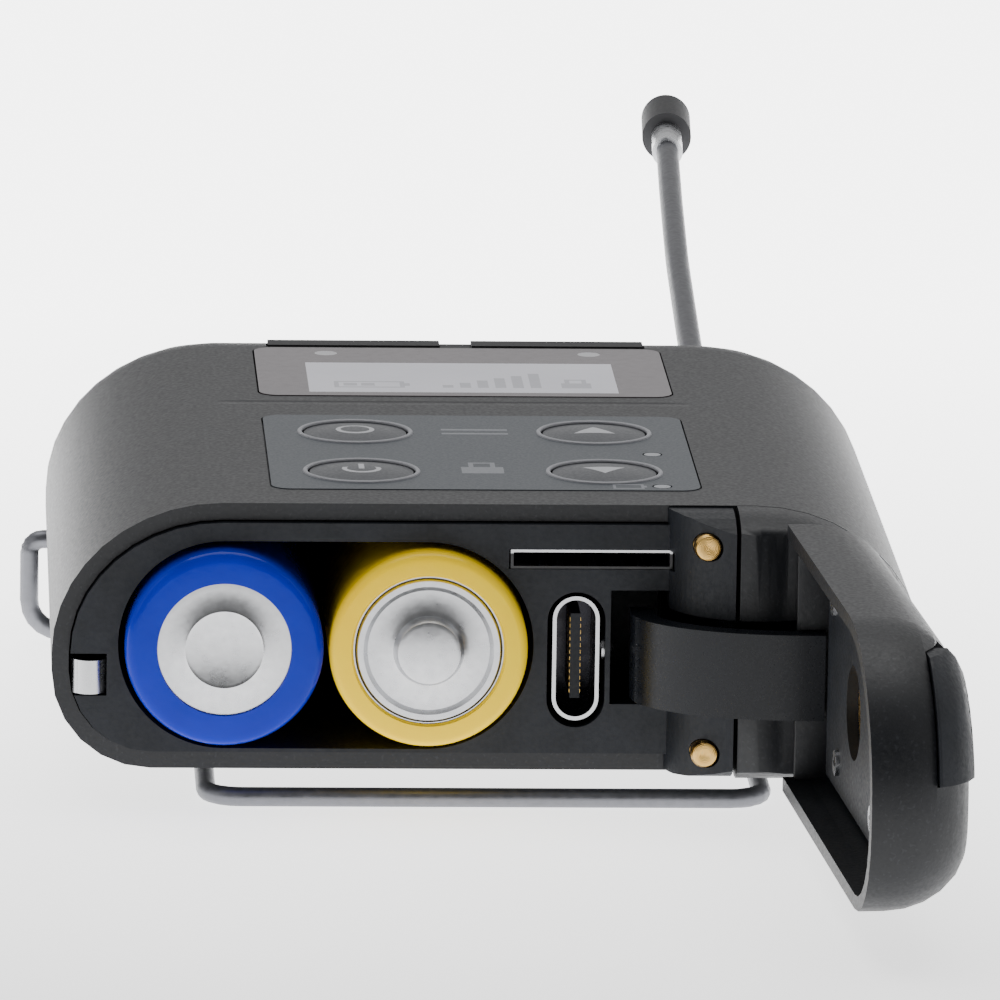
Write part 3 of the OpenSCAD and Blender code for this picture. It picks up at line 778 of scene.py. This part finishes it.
turned("cell_yellow_steel", "cell_yellow_can", can_steel, (yellow_x, axis_z),
       [(0, -38.2), (1.9, -38.2), (2.2, -38.1), (2.35, -37.85), (2.5, -37.25), (2.9, -37.05),
        (4.3, -37.05), (4.6, -37.3), (5.0, -37.3), (5.2, -37.0), (6.3, -36.95), (6.75, -36.5),
        (6.75, 11.6), (6.3, 12.0), (0, 12.0)])

# Cell contacts in the body, both plated gold: a coil spring behind the yellow cell and a plain
# bar behind the blue one.


def coil(recipe, size):
    path = recipe.node("GeometryNodeCurveSpiral", None, {
        "Resolution": 40, "Rotations": size["Turns"], "Start Radius": size["Outer"],
        "End Radius": size["Inner"], "Height": size["Height"]})
    wire = recipe.node("GeometryNodeCurvePrimitiveCircle", {"mode": "RADIUS"},
                       {"Resolution": 12, "Radius": size["Wire"]})
    swept = recipe.node("GeometryNodeCurveToMesh", None, {
        "Curve": path["Curve"], "Profile Curve": wire["Curve"], "Fill Caps": True})
    return recipe.node("GeometryNodeTransform", None, {
        "Geometry": swept[0], "Rotation": recipe.vector(size["Tip"], 0.0, 0.0),
        "Translation": recipe.vector(size["Middle X"], size["Near Y"], size["Middle Z"])})[0]


grown("cell_coil", "body", gold, {
    "Turns": 4.5, "Outer": 3.1 * mm, "Inner": 2.3 * mm, "Height": 2.4 * mm, "Wire": 0.28 * mm,
    "Middle X": yellow_x * mm, "Near Y": 14.85 * mm, "Middle Z": axis_z * mm,
    "Tip": math.radians(90)}, coil, "cell_spring")
smoothed("cell_contact_bar", gold)

# Spring pins: two turned brass plungers, one above and one below the hinge arm. Each has a
# shallow dished tip with rings left by the tool.
pin_x, pin_middle, pin_apart = 15.15, 9.55, 7.4


def turned_brass(recipe):
    at = recipe.axes()
    rub = recipe.noise(0.0005, 3)
    up = recipe.absolute(at["Z"] - pin_middle * mm) - pin_apart * mm
    aside = at["X"] - pin_x * mm
    from_axis = recipe.node("ShaderNodeMath", {"operation": "SQRT"}, {0: up * up + aside * aside})
    per_metre = 60000.0  # radians, a ring about every tenth of a millimetre
    rings_cut = recipe.node("ShaderNodeMath", {"operation": "SINE"},
                            {0: from_axis[0] * per_metre})[0]
    return {
        "Base Color": recipe.blend(rub, colour(192, 150, 78), colour(220, 182, 112)),
        "Metallic": 1.0,
        "Roughness": recipe.spread(rub, 0.2, 0.32),
        "Normal": recipe.bump(rings_cut, 0.000008, 0.5),
    }


brass = finish("turned_brass", turned_brass)
for node, high in (("spring_pin_upper", pin_middle + pin_apart),
                   ("spring_pin_lower", pin_middle - pin_apart)):
    turned(node + "_turned", node, brass, (pin_x, high),
           [(0, -39.52), (0.3, -39.54), (0.62, -39.6), (0.84, -39.52), (0.97, -39.3),
            (1.0, -39.05), (1.0, -38.4), (0.93, -38.35), (0.93, -38.2), (1.0, -38.15),
            (1.0, -35.9), (0, -35.9)], steps=48)

# Lid fittings: a plated strip that joins the two cells, on the plate, with four small steel
# screws. The cross in each head is drawn in the material as a dent darkened by painted shade;
# screws holds each head's Y and Z.
screws = ((-47.11, 14.75), (-49.7, 3.95), (-66.57, 3.95), (-66.57, 14.75))
cross_half, cross_reach = 0.12 * mm, 0.52 * mm
smoothed("lid_contacts", gold)


def crossed_head(recipe):
    at = recipe.axes()
    cut = 0.0
    for along, high in screws:
        y, z = recipe.absolute(at["Y"] - along * mm), recipe.absolute(at["Z"] - high * mm)
        upright = (y < cross_half) * (z < cross_reach)
        level = (z < cross_half) * (y < cross_reach)
        cut = upright + level + cut
    rub = recipe.noise(0.0005, 2)
    bright = recipe.blend(rub, colour(190, 191, 194), colour(215, 216, 218))
    return {
        # painted shade: the cross recesses are coloured dark where shade falls into them
        "Base Color": recipe.blend(cut, bright, colour(34, 34, 36)),
        "Metallic": 1.0,
        "Roughness": recipe.spread(rub, 0.22, 0.34),
        "Normal": recipe.bump(cut, -0.0001, 0.8),
    }


smoothed("lid_screws", finish("crossed_head", crossed_head))

# Belt clip: one length of hard spring wire, bent to a loop, with its ends sprung into the sides
# of the housing.


def drawn_wire(recipe):
    drawn = recipe.noise(0.0006, 4)
    return {
        "Base Color": recipe.blend(drawn, colour(104, 105, 110), colour(134, 135, 140)),
        "Metallic": 0.85,
        "Roughness": recipe.spread(drawn, 0.36, 0.5),
        "Normal": recipe.bump(drawn, 0.00001, 0.4),
    }


smoothed("wire_clip", finish("drawn_wire", drawn_wire), 60)

# Antenna: a nut holds a grey jacketed whip with a bright crimped ferrule and a cap. Nut and cap
# are the guard's dull black.
smoothed("antenna_nut", rubber)


def grey_jacket(recipe):
    grain = recipe.noise(0.0005, 3)
    return {
        "Base Color": recipe.blend(grain, colour(56, 57, 62), colour(72, 73, 78)),
        "Roughness": recipe.spread(grain, 0.42, 0.56),
        "Normal": recipe.bump(grain, 0.00002, 0.4),
    }


smoothed("antenna_whip", finish("grey_jacket", grey_jacket), 60)
smoothed("antenna_ferrule", steel)
smoothed("antenna_tip", rubber)

# Microphone socket at the antenna end: nickel-plated shell and nut, a black insert and three
# gold pins.


def nickel_plate(recipe):
    rub = recipe.noise(0.0008, 3)
    return {
        "Base Color": recipe.blend(rub, colour(140, 139, 138), colour(170, 169, 167)),
        "Metallic": 1.0,
        "Roughness": recipe.spread(rub, 0.25, 0.4),
    }


nickel = finish("nickel_plate", nickel_plate)
smoothed("mic_shell", nickel)
smoothed("mic_nut", nickel)
smoothed("mic_insert", moulded)
smoothed("mic_pins", gold)

# Circuit boards: green-black laminate behind the keys and under the sockets, out of sight unless
# the casing is opened.


def laminate(recipe):
    weave = recipe.noise(0.0006, 2)
    return {
        "Base Color": recipe.blend(weave, colour(18, 52, 34), colour(24, 66, 42)),
        "Roughness": recipe.spread(weave, 0.35, 0.5),
    }


board = finish("green_laminate", laminate)
smoothed("key_board", board)
smoothed("main_board", board)
